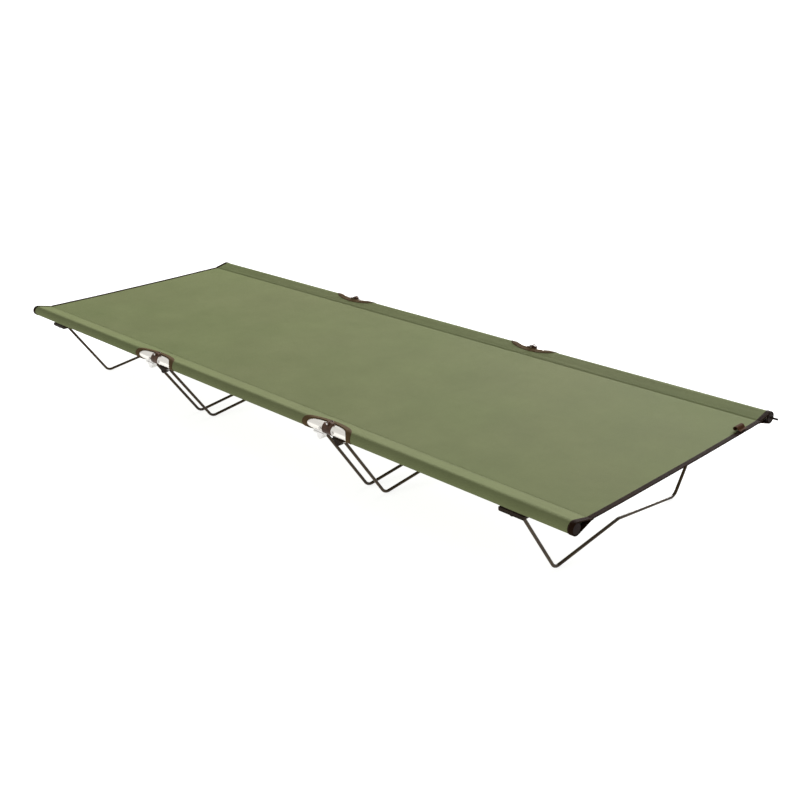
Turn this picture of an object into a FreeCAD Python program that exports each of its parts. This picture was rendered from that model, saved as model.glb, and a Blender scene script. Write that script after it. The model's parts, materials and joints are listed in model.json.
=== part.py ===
import FreeCAD, Part
import math
import os
import re

import Sketcher
from FreeCAD import Placement, Rotation, Vector

# A low tri-fold camp cot. X runs along the bed, Y across it and Z up. The origin is on the floor,
# under the middle of the bed. All lengths are in millimetres.
# Two rails of round tube carry a tensioned cloth. Each rail is three tubes, joined by two hinges,
# so the bed is three sections. Every section stands on two bent wire legs that turn up under it.

DIMENSIONS = {
    # the bed as a whole
    "half_length": 940,
    "hinge_x": 320,
    "rail_y": 325,
    "rail_z": 182,
    # rail tube and the plug in its open end
    "tube_radius": 11,
    "tube_bore": 9.5,
    "tube_inset": 2,
    "plug_radius": 9.4,
    "plug_depth": 20,
    "flange_thick": 2.5,
    "stub_radius": 2.2,
    "stub_length": 16,
    # section hinge: two blocks that butt end to end and turn on a pin above the tube
    "block_length": 13,
    "block_radius": 12,
    "butt_gap": 0.1,
    "spigot_radius": 9.3,
    "spigot_length": 18,
    "pivot_rise": 13.6,
    "knuckle_radius": 3.6,
    "relief_radius": 4.1,
    "tongue_width": 6,
    "slot_width": 6.6,
    "ears_width": 14,
    "fin_length": 12,
    "fin_top": 3.4,
    "pin_radius": 1.4,
    "pin_bore": 1.45,
    "pin_head_radius": 2.4,
    "pin_head_thick": 1.2,
    "cross_rivet_radius": 1.8,
    "cross_rivet_bore": 1.9,
    "cross_rivet_inset": 6,
    # wire leg
    "wire_radius": 3.4,
    "wire_bore": 3.45,
    "leg_drop": 22,
    "leg_end_drop": 16,
    "leg_end_x": 806,
    "leg_inset": 27,
    "knee_y": 313,
    "foot_y": 203,
    "hump_z": 28,
    "knee_bend": 8,
    "foot_bend": 20,
    "foot_dip": 1.3,
    "hump_bend": 24,
    # bracket that hangs a leg under a rail
    "boss_radius": 6.2,
    "bore_cap": 2,
    "cheek_spread": 3.2,
    "boss_width": 14,
    "plate_width": 16,
    "plate_top": 12.8,
    "plate_thick": 3.5,
    "end_plate_thick": 7.5,
    "ridge_width": 12,
    "saddle_radius": 11.05,
    "end_plate_half": 29,
    "end_ridge_half": 23,
    "end_rivet_x": 18,
    "inner_plate_half": 12.6,
    "inner_plate_far": 18.4,
    "inner_rivet_x": 14,
    "rivet_radius": 1.9,
    "rivet_bore": 2,
    "rivet_head_radius": 3.6,
    "rivet_head_thick": 1.4,
    # cloth, its sleeves round the rails and its bound edges
    "cloth_half": 0.6,
    "sleeve_outer": 12.5,
    "sleeve_inner": 11.4,
    "seam_y": 284,
    "seam_inner_y": 288,
    "bed_rise": 2.5,
    "panel_gap": 0.4,
    "slit_half": 26,
    "slit_width": 17,
    "cut_y": 345,
    "cut_half": 68,
    "cut_depth": 40,
    "tape_width": 8,
    "tape_thick": 0.8,
    "tape_clearance": 0.05,
    "hem_width": 11,
    # blank loop of tape sewn to one end
    "tab_length": 18,
    "tab_width": 26,
    "tab_thick": 7,
    "tab_y": 222,
}

doc = FreeCAD.newDocument("folding_cot")
sheet = doc.addObject("Spreadsheet::Sheet", "Sizes")
for row, (alias, value) in enumerate(DIMENSIONS.items(), start=1):
    sheet.set(f"A{row}", alias.replace("_", " "))
    sheet.set(f"B{row}", str(value))
    sheet.setAlias(f"B{row}", alias)
doc.recompute()

SIDES = {"near": -1, "far": 1}
NODES = []


# ---------------------------------------------------------------- small helpers

def swap_names(text, give):
    """A sum of dimension names, with each name swapped for what give() makes of it."""
    return re.sub(r"[a-z]\w*", lambda m: give(m[0]) if m[0] in DIMENSIONS else m[0], str(text))


def number(text):
    """The value of a sum of dimension names, in millimetres."""
    return FreeCAD.Units.Quantity(swap_names(text, lambda name: f"({sheet.get(name)})")).Value


def bind(thing, prop, text):
    """Ties a property to the spreadsheet."""
    thing.setExpression(prop, swap_names(text, lambda name: f"Sizes.{name}"))


def place(thing, x=0, y=0, z=0, turn=0):
    """Puts a finished piece in the bed's frame, turned about Z."""
    thing.Placement = Placement(Vector(number(x), number(y), number(z)), Rotation(Vector(0, 0, 1), turn))
    for axis, text in zip("xyz", (x, y, z)):
        bind(thing, f"Placement.Base.{axis}", text)


def keep(thing, label):
    """Names a finished piece; the name is also its file's."""
    thing.Label = label
    NODES.append(thing)
    return thing


def new(kind, name, **bound):
    """A document object with its properties tied to the spreadsheet."""
    thing = doc.addObject(kind, name)
    for prop, text in bound.items():
        bind(thing, prop, text)
    return thing


def cylinder(name, radius, height, axis, x=0, y=0, z=0):
    """A cylinder centred on (x, y, z), along axis."""
    thing = new("Part::Cylinder", name, Radius=radius, Height=height)
    turned = Rotation(Vector(0, 0, 1), axis)
    middle = Vector(number(x), number(y), number(z))
    thing.Placement = Placement(middle - turned.multVec(Vector(0, 0, number(height) / 2)), turned)
    return thing


def box(name, x, y, z):
    """A box between the pairs of limits x, y and z."""
    thing = new("Part::Box", name, Length=f"({x[1]}) - ({x[0]})", Width=f"({y[1]}) - ({y[0]})",
                Height=f"({z[1]}) - ({z[0]})")
    for axis, limits in zip("xyz", (x, y, z)):
        bind(thing, f"Placement.Base.{axis}", limits[0])
    return thing


def joined(name, pieces):
    thing = doc.addObject("Part::MultiFuse", name)
    thing.Shapes = pieces
    return thing


def group(name, pieces):
    """Separate solids that share one node."""
    thing = doc.addObject("Part::Compound", name)
    thing.Links = pieces
    return thing


def cut(name, base, tool):
    thing = doc.addObject("Part::Cut", name)
    thing.Base = base
    thing.Tool = tool
    return thing


def common(name, base, tool):
    thing = doc.addObject("Part::Common", name)
    thing.Base = base
    thing.Tool = tool
    return thing


# ---------------------------------------------------------------- sketches

def sketch_in(body, name, role, lift=0):
    """A sketch on one of the body's origin planes, lifted along the plane's normal."""
    sketch = body.newObject("Sketcher::SketchObject", name)
    plane = [o for o in body.Origin.OriginFeatures if o.Role == role][0]
    sketch.AttachmentSupport = [(plane, "")]
    sketch.MapMode = "FlatFace"
    if lift:
        bind(sketch, "AttachmentOffset.Base.z", lift)
    return sketch


def pin_point(sketch, part, end, across, up):
    """Fixes a point of a sketch at (across, up) from its origin."""
    for kind, axis, text in (("DistanceX", -2, across), ("DistanceY", -1, up)):
        value = number(text)
        if abs(value) < 1e-9:
            sketch.addConstraint(Sketcher.Constraint("PointOnObject", part, end, axis))
            continue
        spot = sketch.addConstraint(Sketcher.Constraint(kind, -1, 1, part, end, value))
        bind(sketch, f"Constraints[{spot}]", text)


def add_circle(sketch, across, up, radius):
    middle = Vector(number(across), number(up), 0)
    part = sketch.addGeometry(Part.Circle(middle, Vector(0, 0, 1), number(radius)))
    pin_point(sketch, part, 3, across, up)
    spot = sketch.addConstraint(Sketcher.Constraint("Radius", part, number(radius)))
    bind(sketch, f"Constraints[{spot}]", radius)


def add_polygon(sketch, corners):
    """A closed polygon whose every corner is tied to the spreadsheet."""
    points = [Vector(number(a), number(b), 0) for a, b in corners]
    lines = [sketch.addGeometry(Part.LineSegment(p, q)) for p, q in zip(points, points[1:] + points[:1])]
    for line, after in zip(lines, lines[1:] + lines[:1]):
        sketch.addConstraint(Sketcher.Constraint("Coincident", line, 2, after, 1))
    for line, (across, up) in zip(lines, corners):
        pin_point(sketch, line, 1, across, up)


def add_rectangle(sketch, left, right, low, high):
    add_polygon(sketch, [(left, low), (right, low), (right, high), (left, high)])


def pad(body, sketch, length, middle=False, back=False):
    feature = body.newObject("PartDesign::Pad", sketch.Name + "_pad")
    feature.Profile = sketch
    feature.Midplane = middle
    feature.Reversed = back
    bind(feature, "Length", length)
    doc.recompute()
    return feature


def pocket(body, sketch, length):
    """Cuts a sketch out of the body, length deep in all, half to each side, and checks that it cut."""
    before = body.Shape.Volume
    feature = body.newObject("PartDesign::Pocket", sketch.Name + "_pocket")
    feature.Profile = sketch
    feature.Midplane = True
    bind(feature, "Length", length)
    doc.recompute()
    if body.Shape.Volume > before - 0.1:
        raise RuntimeError(f"{sketch.Name} cut nothing")


def revolve(body, sketch):
    feature = body.newObject("PartDesign::Revolution", sketch.Name + "_turned")
    feature.Profile = sketch
    feature.ReferenceAxis = (sketch, ["H_Axis"])
    feature.Angle = 360
    doc.recompute()


def new_body(name):
    return doc.addObject("PartDesign::Body", name)


# ---------------------------------------------------------------- rails

def rail(label, length, x, y, cross_holes, under_holes):
    """A tube from x on, with holes for the hinge's cross rivets and for the brackets' rivets.
    The holes' places are measured from the tube's left end."""
    body = new_body("Rail")
    ring = sketch_in(body, "RailRing", "YZ_Plane")
    add_circle(ring, 0, 0, "tube_radius")
    add_circle(ring, 0, 0, "tube_bore")
    pad(body, ring, length)
    across = sketch_in(body, "RivetHoles", "XZ_Plane")
    for at in cross_holes:
        add_circle(across, at, 0, "cross_rivet_bore")
    pocket(body, across, "4 * tube_radius")
    below = sketch_in(body, "BracketHoles", "XY_Plane", "-tube_radius")
    for at in under_holes:
        add_circle(below, at, 0, "rivet_bore")
    pocket(body, below, "tube_radius")
    place(body, x, y, "rail_z")
    keep(body, label)


INNER_END = "hinge_x - block_length"
OUTER_START = "hinge_x + block_length"
OUTER_END = "half_length - tube_inset"
OUTER_LENGTH = f"{OUTER_END} - hinge_x - block_length"


def rails():
    inner_rivet = "hinge_x + leg_inset + inner_rivet_x"
    end_rivets = ("leg_end_x - end_rivet_x", "leg_end_x + end_rivet_x")
    right_under = [f"{at} - ({OUTER_START})" for at in (inner_rivet, *end_rivets)]
    left_under = [f"{OUTER_LENGTH} - ({at})" for at in right_under]
    middle_length = f"2 * ({INNER_END})"
    middle_rivet = f"({INNER_END}) - (hinge_x - leg_inset - inner_rivet_x)"
    for side, sign in SIDES.items():
        y = f"{sign} * rail_y"
        rail(f"rail_middle_{side}", middle_length, f"-({INNER_END})", y,
             ["cross_rivet_inset", f"{middle_length} - cross_rivet_inset"],
             [middle_rivet, f"{middle_length} - ({middle_rivet})"])
        rail(f"rail_right_{side}", OUTER_LENGTH, OUTER_START, y, ["cross_rivet_inset"], right_under)
        rail(f"rail_left_{side}", OUTER_LENGTH, f"-({OUTER_END})", y,
             [f"{OUTER_LENGTH} - cross_rivet_inset"], left_under)


def end_plugs():
    """A plug in each open rail end: a body inside the tube, a flange and, but for one corner, a short
    stub."""
    for side, sign in SIDES.items():
        for end, way in {"left": -1, "right": 1}.items():
            body = new_body("EndPlug")
            half = sketch_in(body, "PlugHalf", "XZ_Plane")
            outline = [("-plug_depth", 0), ("-plug_depth", "plug_radius - 1"),
                       ("1 - plug_depth", "plug_radius"), (0, "plug_radius"), (0, "tube_radius"),
                       ("flange_thick - 0.8", "tube_radius"), ("flange_thick", "tube_radius - 0.8")]
            if (side, end) != ("near", "right"):
                outline += [("flange_thick", "stub_radius"),
                            ("flange_thick + stub_length", "stub_radius"),
                            ("flange_thick + stub_length", 0)]
            else:
                outline.append(("flange_thick", 0))
            add_polygon(half, outline)
            revolve(body, half)
            place(body, f"{way} * ({OUTER_END})", f"{sign} * rail_y", "rail_z", 0 if way > 0 else 180)
            keep(body, f"end_plug_{end}_{side}")


# ---------------------------------------------------------------- section hinges
# Each half is drawn with its own tube towards +X and the butt face at x = 0, on the tube's axis.

def hinge_core(name):
    body = new_body(name)
    block = sketch_in(body, f"{name}Block", "YZ_Plane", "butt_gap")
    add_circle(block, 0, 0, "block_radius")
    pad(body, block, "block_length - butt_gap")
    spigot = sketch_in(body, f"{name}Spigot", "YZ_Plane", "block_length")
    add_circle(spigot, 0, 0, "spigot_radius")
    pad(body, spigot, "spigot_length")
    return body


def drill_hinge(body):
    bore = sketch_in(body, "PinBore", "XZ_Plane")
    add_circle(bore, 0, "pivot_rise", "pin_bore")
    pocket(body, bore, "3 * ears_width")
    cross = sketch_in(body, "CrossBore", "XZ_Plane")
    add_circle(cross, "block_length + cross_rivet_inset", 0, "cross_rivet_bore")
    pocket(body, cross, "4 * tube_radius")


def knuckle(body, name, width):
    """The round eye on the pin's axis, and the web that carries it down to the block."""
    eye = sketch_in(body, f"{name}Eye", "XZ_Plane")
    add_circle(eye, 0, "pivot_rise", "knuckle_radius")
    pad(body, eye, width, middle=True)
    web = sketch_in(body, f"{name}Web", "XZ_Plane")
    add_rectangle(web, "butt_gap", "block_length - 2", "block_radius / 2", "pivot_rise - 0.3")
    pad(body, web, width, middle=True)


def clevis_half(label, x, y, turn):
    """Two ears with a slot between them."""
    body = hinge_core("Clevis")
    knuckle(body, "Ears", "ears_width")
    slot = sketch_in(body, "ClevisSlot", "XZ_Plane")
    add_rectangle(slot, "-2 * knuckle_radius", "block_length", "pivot_rise - relief_radius",
                  "pivot_rise + 2 * knuckle_radius")
    pocket(body, slot, "slot_width")
    drill_hinge(body)
    place(body, x, y, "rail_z", turn)
    keep(body, label)


def tongue_half(label, x, y, turn):
    """One tongue in the slot, with a flat fin that lies over the block."""
    body = hinge_core("Tongue")
    relief = sketch_in(body, "EarRelief", "XZ_Plane")
    add_circle(relief, 0, "pivot_rise", "relief_radius")
    pocket(body, relief, "4 * block_radius")
    knuckle(body, "Tongue", "tongue_width")
    fin = sketch_in(body, "TongueFin", "XZ_Plane")
    add_polygon(fin, [(0, "pivot_rise"), ("fin_length", "pivot_rise + 0.3"),
                      ("fin_length", "pivot_rise + fin_top / 2"), (1, "pivot_rise + fin_top"),
                      (0, "pivot_rise + fin_top")])
    pad(body, fin, "tongue_width", middle=True)
    drill_hinge(body)
    place(body, x, y, "rail_z", turn)
    keep(body, label)


def hinge_pin(label, x, y):
    body = new_body("HingePin")
    half = sketch_in(body, "PinHalf", "XZ_Plane")
    reach = "ears_width / 2 + 0.1"
    head = f"{reach} + pin_head_thick"
    add_polygon(half, [
        (f"-({head})", 0), (f"-({head})", "pin_head_radius"), (f"-({reach})", "pin_head_radius"),
        (f"-({reach})", "pin_radius"), (reach, "pin_radius"), (reach, "pin_head_radius"),
        (head, "pin_head_radius"), (head, 0)])
    revolve(body, half)
    place(body, x, y, "rail_z + pivot_rise", 90)
    keep(body, label)


def section_hinges():
    for side, sign in SIDES.items():
        for end, way in {"left": -1, "right": 1}.items():
            x = f"{way} * hinge_x"
            y = f"{sign} * rail_y"
            clevis_half(f"hinge_clevis_{end}_{side}", x, y, 180)
            tongue_half(f"hinge_tongue_{end}_{side}", x, y, 0)
            hinge_pin(f"hinge_pin_{end}_{side}", x, y)


# ---------------------------------------------------------------- wire legs and their brackets

def bent_wire(sketch, corners, bends):
    """Straight runs between the corners, with a tangent arc of the given bend at each inner corner.
    The runs and arcs are worked out here and blocked, because a tangent chain can also close the
    other way round its arcs."""
    points = [Vector(number(a), number(b), 0) for a, b in corners]
    parts = []
    start = points[0]
    for before, corner, after, bend in zip(points, points[1:], points[2:], bends):
        towards = (before - corner).normalize()
        away = (after - corner).normalize()
        half_angle = towards.getAngle(away) / 2
        reach = number(bend) / math.tan(half_angle)
        first = corner + towards * reach
        last = corner + away * reach
        bisector = (towards + away).normalize()
        crown = corner + bisector * (number(bend) / math.sin(half_angle) - number(bend))
        parts += [Part.LineSegment(start, first), Part.Arc(first, crown, last)]
        start = last
    parts.append(Part.LineSegment(start, points[-1]))
    for part in sketch.addGeometry(parts):
        sketch.addConstraint(Sketcher.Constraint("Block", part))


def wire_leg(label, x, drop):
    """One wire bent in a vertical plane: two ends that turn in the brackets, two legs that splay
    down and inwards to the feet, and a foot bar with a shallow hump in its middle."""
    body = new_body("WireLeg")
    wire_end = "rail_y + boss_width / 2 - bore_cap - 0.3"
    floor_z = f"wire_radius - foot_dip + {drop} - rail_z"
    corners = [(f"-({wire_end})", 0), ("-knee_y", 0), ("-foot_y", floor_z),
               (0, f"hump_z + {drop} - rail_z"), ("foot_y", floor_z), ("knee_y", 0), (wire_end, 0)]
    spine = sketch_in(body, "LegSpine", "YZ_Plane")
    bent_wire(spine, corners, ["knee_bend", "foot_bend", "hump_bend", "foot_bend", "knee_bend"])
    section = sketch_in(body, "LegSection", "XZ_Plane", wire_end)
    add_circle(section, 0, 0, "wire_radius")
    doc.recompute()
    pipe = body.newObject("PartDesign::AdditivePipe", "LegWire")
    pipe.Profile = section
    pipe.Spine = (spine, [f"Edge{i + 1}" for i in range(len(spine.Shape.Edges))])
    doc.recompute()
    place(body, x, 0, f"rail_z - {drop}")
    keep(body, label)


# how a bracket differs at the ends of the bed and beside a section hinge
END_BRACKET = {
    "drop": "leg_end_drop",
    "thick": "end_plate_thick",
    "plate": ("-end_plate_half", "end_plate_half"),
    "ridge": ("-end_ridge_half", "end_ridge_half"),
    "rivets": ("-end_rivet_x", "end_rivet_x"),
}
INNER_BRACKET = {
    "drop": "leg_drop",
    "thick": "plate_thick",
    "plate": ("-inner_plate_half", "inner_plate_far"),
    "ridge": ("-inner_plate_half", "inner_plate_far"),
    "rivets": ("inner_rivet_x",),
}


def bracket(label, x, y, turn, closed, kind):
    """A plate under the sleeve, a ridge that reaches the tube, and a boss whose blind bore holds the
    wire. closed is the side of the bore's bottom, 1 or -1 along the bracket's own Y."""
    body = new_body("Bracket")
    axis_z = f"-{kind['drop']}"
    plate_low = f"-plate_top - {kind['thick']}"
    boss = sketch_in(body, "Boss", "XZ_Plane")
    add_circle(boss, 0, axis_z, "boss_radius")
    pad(body, boss, "boss_width", middle=True)
    cheek = sketch_in(body, "Cheek", "XZ_Plane")
    cheek_top = "-plate_top - plate_thick + 0.5"
    add_polygon(cheek, [("-boss_radius", axis_z), ("boss_radius", axis_z),
                        ("boss_radius + cheek_spread", cheek_top), ("-boss_radius - cheek_spread", cheek_top)])
    pad(body, cheek, "boss_width", middle=True)
    plate = sketch_in(body, "Plate", "XZ_Plane")
    start, stop = kind["plate"]
    add_polygon(plate, [(start, "-plate_top"), (start, f"{plate_low} + 1.5"), (f"{start} + 1.5", plate_low),
                        (f"{stop} - 1.5", plate_low), (stop, f"{plate_low} + 1.5"), (stop, "-plate_top")])
    pad(body, plate, "plate_width", middle=True)
    ridge = sketch_in(body, "Ridge", "XZ_Plane")
    add_rectangle(ridge, *kind["ridge"], "-plate_top", "-tube_radius + 2")
    pad(body, ridge, "ridge_width", middle=True)
    saddle = sketch_in(body, "Saddle", "YZ_Plane")
    add_circle(saddle, 0, 0, "saddle_radius")
    pocket(body, saddle, "4 * end_plate_half")
    bore = sketch_in(body, "WireBore", "XZ_Plane", f"{closed} * (boss_width / 4 + bore_cap / 2)")
    add_circle(bore, 0, axis_z, "wire_bore")
    pocket(body, bore, "1.5 * boss_width - bore_cap")
    holes = sketch_in(body, "RivetHoles", "XY_Plane", "-plate_top")
    for at in kind["rivets"]:
        add_circle(holes, at, 0, "rivet_bore")
    pocket(body, holes, f"4 * {kind['thick']}")
    place(body, x, y, "rail_z", turn)
    keep(body, label)


LEG_PLACES = {
    "left_outer": (-1, "leg_end_x"),
    "left_inner": (-1, "(hinge_x + leg_inset)"),
    "middle_left": (-1, "(hinge_x - leg_inset)"),
    "middle_right": (1, "(hinge_x - leg_inset)"),
    "right_inner": (1, "(hinge_x + leg_inset)"),
    "right_outer": (1, "leg_end_x"),
}


def legs_and_brackets():
    for name, (way, distance) in LEG_PLACES.items():
        kind = END_BRACKET if "outer" in name else INNER_BRACKET
        x = f"{way} * {distance}"
        wire_leg(f"leg_wire_{name}", x, kind["drop"])
        outwards = way if kind is END_BRACKET or "inner" in name else -way
        for side, sign in SIDES.items():
            turn = 0 if outwards > 0 else 180
            bracket(f"leg_bracket_{name}_{side}", x, f"{sign} * rail_y", turn, sign * outwards, kind)


# ---------------------------------------------------------------- rivets, one group per section

def bracket_rivet(name, x, y, thick):
    """Shank up through the plate and the tube's wall, with a head under the plate."""
    low = f"rail_z - plate_top - {thick} - 0.05 - rivet_head_thick"
    top = "rail_z - tube_bore + 0.6"
    upright = Vector(0, 0, 1)
    shank = cylinder(name, "rivet_radius", f"{top} - ({low})", upright, x, y, f"({top} + {low}) / 2")
    middle = f"{low} + rivet_head_thick / 2"
    head = cylinder(name, "rivet_head_radius", "rivet_head_thick", upright, x, y, middle)
    return joined(name, [shank, head])


def cross_rivet(name, x, y):
    """Across the tube and the hinge's spigot, with a flat head at each end."""
    across = Vector(0, 1, 0)
    pieces = [cylinder(name, "cross_rivet_radius", "2 * tube_radius + 1.2", across, x, y, "rail_z")]
    for sign in SIDES.values():
        head_y = f"{y} + {sign} * (tube_radius + 0.7)"
        pieces.append(cylinder(name, "rivet_head_radius", 1, across, x, head_y, "rail_z"))
    return joined(name, pieces)


def rivets():
    bracket_x = {
        "left": ["-leg_end_x - end_rivet_x", "-leg_end_x + end_rivet_x",
                 "-hinge_x - leg_inset - inner_rivet_x"],
        "middle": ["-hinge_x + leg_inset + inner_rivet_x", "hinge_x - leg_inset - inner_rivet_x"],
        "right": ["leg_end_x - end_rivet_x", "leg_end_x + end_rivet_x",
                  "hinge_x + leg_inset + inner_rivet_x"],
    }
    outer_cross = "hinge_x + block_length + cross_rivet_inset"
    inner_cross = "hinge_x - block_length - cross_rivet_inset"
    cross_x = {"left": [f"-({outer_cross})"], "middle": [f"-({inner_cross})", inner_cross],
               "right": [outer_cross]}
    ys = [f"{sign} * rail_y" for sign in SIDES.values()]
    for section in ("left", "middle", "right"):
        below = [bracket_rivet("BracketRivet", x, y, "end_plate_thick" if "end" in x else "plate_thick")
                 for x in bracket_x[section] for y in ys]
        keep(group("BracketRivets", below), f"bracket_rivets_{section}")
        across = [cross_rivet("CrossRivet", x, y) for x in cross_x[section] for y in ys]
        keep(group("HingeRivets", across), f"hinge_rivets_{section}")


# ---------------------------------------------------------------- cloth
# The cloth is flat between the two seams. Outside each seam it is double: the upper layer runs up
# and over the rail, the lower layer comes back under it, and both are sewn together at the seam.

def tangent_arc(radius, seam_y, above, below, sign):
    """Where the upper and lower layers, coming from the seam, meet the round part of a sleeve."""
    centre = Vector(sign * number("rail_y"), 0, 0)
    ends = []
    for level, way in ((above, 1), (below, -1)):
        seam = Vector(sign * number(seam_y), level, 0)
        away = seam - centre
        lean = math.acos(radius / away.Length)
        angle = math.atan2(away.y, away.x) + (-sign * way) * lean
        ends.append(centre + Vector(math.cos(angle), math.sin(angle), 0) * radius)
    return Part.Arc(ends[0], centre + Vector(sign * radius, 0, 0), ends[1])


def profile_sketch(name):
    """A free sketch in the YZ plane, at the rails' height."""
    sketch = doc.addObject("Sketcher::SketchObject", name)
    upright = Rotation(Vector(0, 1, 0), Vector(0, 0, 1), Vector(1, 0, 0), "XYZ")
    sketch.Placement = Placement(Vector(0, 0, number("rail_z")), upright)
    bind(sketch, "Placement.Base.z", "rail_z")
    return sketch


def sleeve_arc(sketch, radius, seam_y, above, below, sign):
    arc = sketch.addGeometry(tangent_arc(number(radius), seam_y, number(above), number(below), sign))
    pin_point(sketch, arc, 3, f"{sign} * rail_y", 0)
    spot = sketch.addConstraint(Sketcher.Constraint("Radius", arc, number(radius)))
    bind(sketch, f"Constraints[{spot}]", radius)
    return arc


def tangent_line(sketch, arc, upper, corner):
    """A straight layer from a corner at the seam to the top or the bottom of a sleeve's arc."""
    ends = {end: sketch.getPoint(arc, end) for end in (1, 2)}
    end = max(ends, key=lambda k: ends[k].y if upper else -ends[k].y)
    seam = Vector(number(corner[0]), number(corner[1]), 0)
    line = sketch.addGeometry(Part.LineSegment(seam, ends[end]))
    sketch.addConstraint(Sketcher.Constraint("Tangent", line, 2, arc, end))
    pin_point(sketch, line, 1, *corner)
    return line


def add_cloth_outline(sketch, grow):
    """The outside of both sleeves and of the flat cloth between them, grown by an allowance."""
    above = f"bed_rise + cloth_half + {grow}"
    below = f"bed_rise - cloth_half - ({grow})"
    for sign in SIDES.values():
        arc = sleeve_arc(sketch, f"sleeve_outer + {grow}", "seam_y", above, below, sign)
        tangent_line(sketch, arc, True, (f"{sign} * seam_y", above))
        tangent_line(sketch, arc, False, (f"{sign} * seam_y", below))
    for level in (above, below):
        y = number(level)
        ends = [Vector(sign * number("seam_y"), y, 0) for sign in SIDES.values()]
        line = sketch.addGeometry(Part.LineSegment(*ends))
        pin_point(sketch, line, 1, "-seam_y", level)
        pin_point(sketch, line, 2, "seam_y", level)


def add_sleeve_hollows(sketch):
    """The two hollows that the rails lie in."""
    for sign in SIDES.values():
        arc = sleeve_arc(sketch, "sleeve_inner", "seam_inner_y", "bed_rise", "bed_rise", sign)
        corner = (f"{sign} * seam_inner_y", "bed_rise")
        tangent_line(sketch, arc, True, corner)
        tangent_line(sketch, arc, False, corner)


def extrude(name, sketch, start, length):
    thing = new("Part::Extrusion", name, LengthFwd=length)
    thing.Base = sketch
    thing.DirMode = "Custom"
    thing.Dir = Vector(1, 0, 0)
    thing.Solid = True
    bind(thing, "Placement.Base.x", start)
    return thing


def oval(name, x, y, half, depth):
    """An upright prism over an ellipse centred on (x, y)."""
    rim = new("Part::Ellipse", name + "Rim", MajorRadius=half, MinorRadius=depth)
    thing = new("Part::Extrusion", name, LengthFwd="4 * sleeve_outer")
    thing.Base = rim
    thing.DirMode = "Custom"
    thing.Dir = Vector(0, 0, 1)
    thing.Solid = True
    for axis, text in zip("xyz", (x, y, "rail_z - 2 * sleeve_outer")):
        bind(thing, f"Placement.Base.{axis}", text)
    return thing


SECTIONS = {
    "left": ("-half_length", "-hinge_x - panel_gap", (-1,)),
    "middle": ("panel_gap - hinge_x", "hinge_x - panel_gap", (-1, 1)),
    "right": ("hinge_x + panel_gap", "half_length", (1,)),
}


def cut_outs(ways, extra):
    """The ovals cut from the sleeves round each hinge, wider by extra."""
    half, depth = f"cut_half + {extra}", f"cut_depth + {extra}"
    return [oval("CutOut", f"{way} * hinge_x", f"{sign} * cut_y", half, depth)
            for way in ways for sign in SIDES.values()]


def cloth_panel(section, start, stop, ways):
    outline = profile_sketch("PanelProfile")
    add_cloth_outline(outline, "0")
    add_sleeve_hollows(outline)
    whole = extrude("PanelWhole", outline, start, f"({stop}) - ({start})")
    tools = cut_outs(ways, "0")
    if section != "middle":
        x = f"{ways[0]} * leg_end_x"
        for sign in SIDES.values():
            y = f"{sign} * rail_y"
            tools.append(box("Slit", (f"{x} - slit_half", f"{x} + slit_half"),
                             (f"{y} - slit_width / 2", f"{y} + slit_width / 2"),
                             ("rail_z - 2 * sleeve_outer", "rail_z - tube_radius / 2")))
    keep(cut("Panel", whole, joined("PanelTools", tools)), f"cloth_{section}")


def tape_layer(name, grow, start, length):
    """The cloth's outline grown by an allowance, over the given stretch of its length."""
    outline = profile_sketch(f"{name}Outline")
    add_cloth_outline(outline, grow)
    return extrude(name, outline, start, length)


def cut_out_tape(section, start, stop, ways):
    """Tape on the outside of the cloth, round the cut-outs of one section."""
    length = f"({stop}) - ({start})"
    skin = tape_layer("CutOutTapeSkin", "tape_clearance + tape_thick", start, length)
    core = tape_layer("CutOutTapeCore", "tape_clearance", start, length)
    ring = cut("TapeRings", joined("TapeOvals", cut_outs(ways, "tape_width")),
               joined("TapeHoles", cut_outs(ways, "0")))
    keep(common("CutOutTape", cut("TapeShell", skin, core), ring), f"cutout_binding_{section}")


def end_tape(end, way):
    """Tape folded over the cloth's end: a skin on both sides and a web that closes the edge."""
    if way > 0:
        skin_start = core_start = "half_length - hem_width"
    else:
        skin_start, core_start = "-half_length - tape_thick", "-half_length - tape_clearance"
    skin = tape_layer("EndTapeSkin", "tape_clearance + tape_thick", skin_start, "hem_width + tape_thick")
    core = tape_layer("EndTapeCore", "tape_clearance", core_start, "hem_width + tape_clearance")
    hollows = profile_sketch("EndTapeHollows")
    add_sleeve_hollows(hollows)
    through = extrude("EndTapeHoles", hollows, f"({skin_start}) - 1", "hem_width + tape_thick + 2")
    keep(cut("EndTape", skin, joined("EndTapeInside", [core, through])), f"end_binding_{end}")


def label_tab():
    """A blank loop of tape on the cloth at the right end, as the block that it takes up."""
    low = "rail_z + bed_rise + cloth_half + tape_thick + 0.1"
    block = box("TabBlock", ("half_length - tab_length", "half_length"),
                ("tab_y - tab_width / 2", "tab_y + tab_width / 2"), (low, f"{low} + tab_thick"))
    rounded = doc.addObject("Part::Fillet", "Tab")
    rounded.Base = block
    doc.recompute()
    upright = [i + 1 for i, edge in enumerate(block.Shape.Edges)
               if abs(edge.tangentAt(edge.FirstParameter).z) > 0.9]
    rounded.Edges = [(i, 2.0, 2.0) for i in upright]
    keep(rounded, "label_tab")


def cloth():
    for section, (start, stop, ways) in SECTIONS.items():
        cloth_panel(section, start, stop, ways)
        cut_out_tape(section, start, stop, ways)
    for end, way in {"left": -1, "right": 1}.items():
        end_tape(end, way)
    label_tab()


# ---------------------------------------------------------------- build, check and write

def check():
    doc.recompute()
    failed = [o.Label for o in doc.Objects if {"Invalid", "Error"} & set(o.State)]
    if failed:
        raise RuntimeError(f"these objects failed: {failed}")
    for node in NODES:
        if node.Shape.isNull() or not node.Shape.isValid() or not node.Shape.Solids:
            raise RuntimeError(f"{node.Label} has no valid shape")


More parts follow.
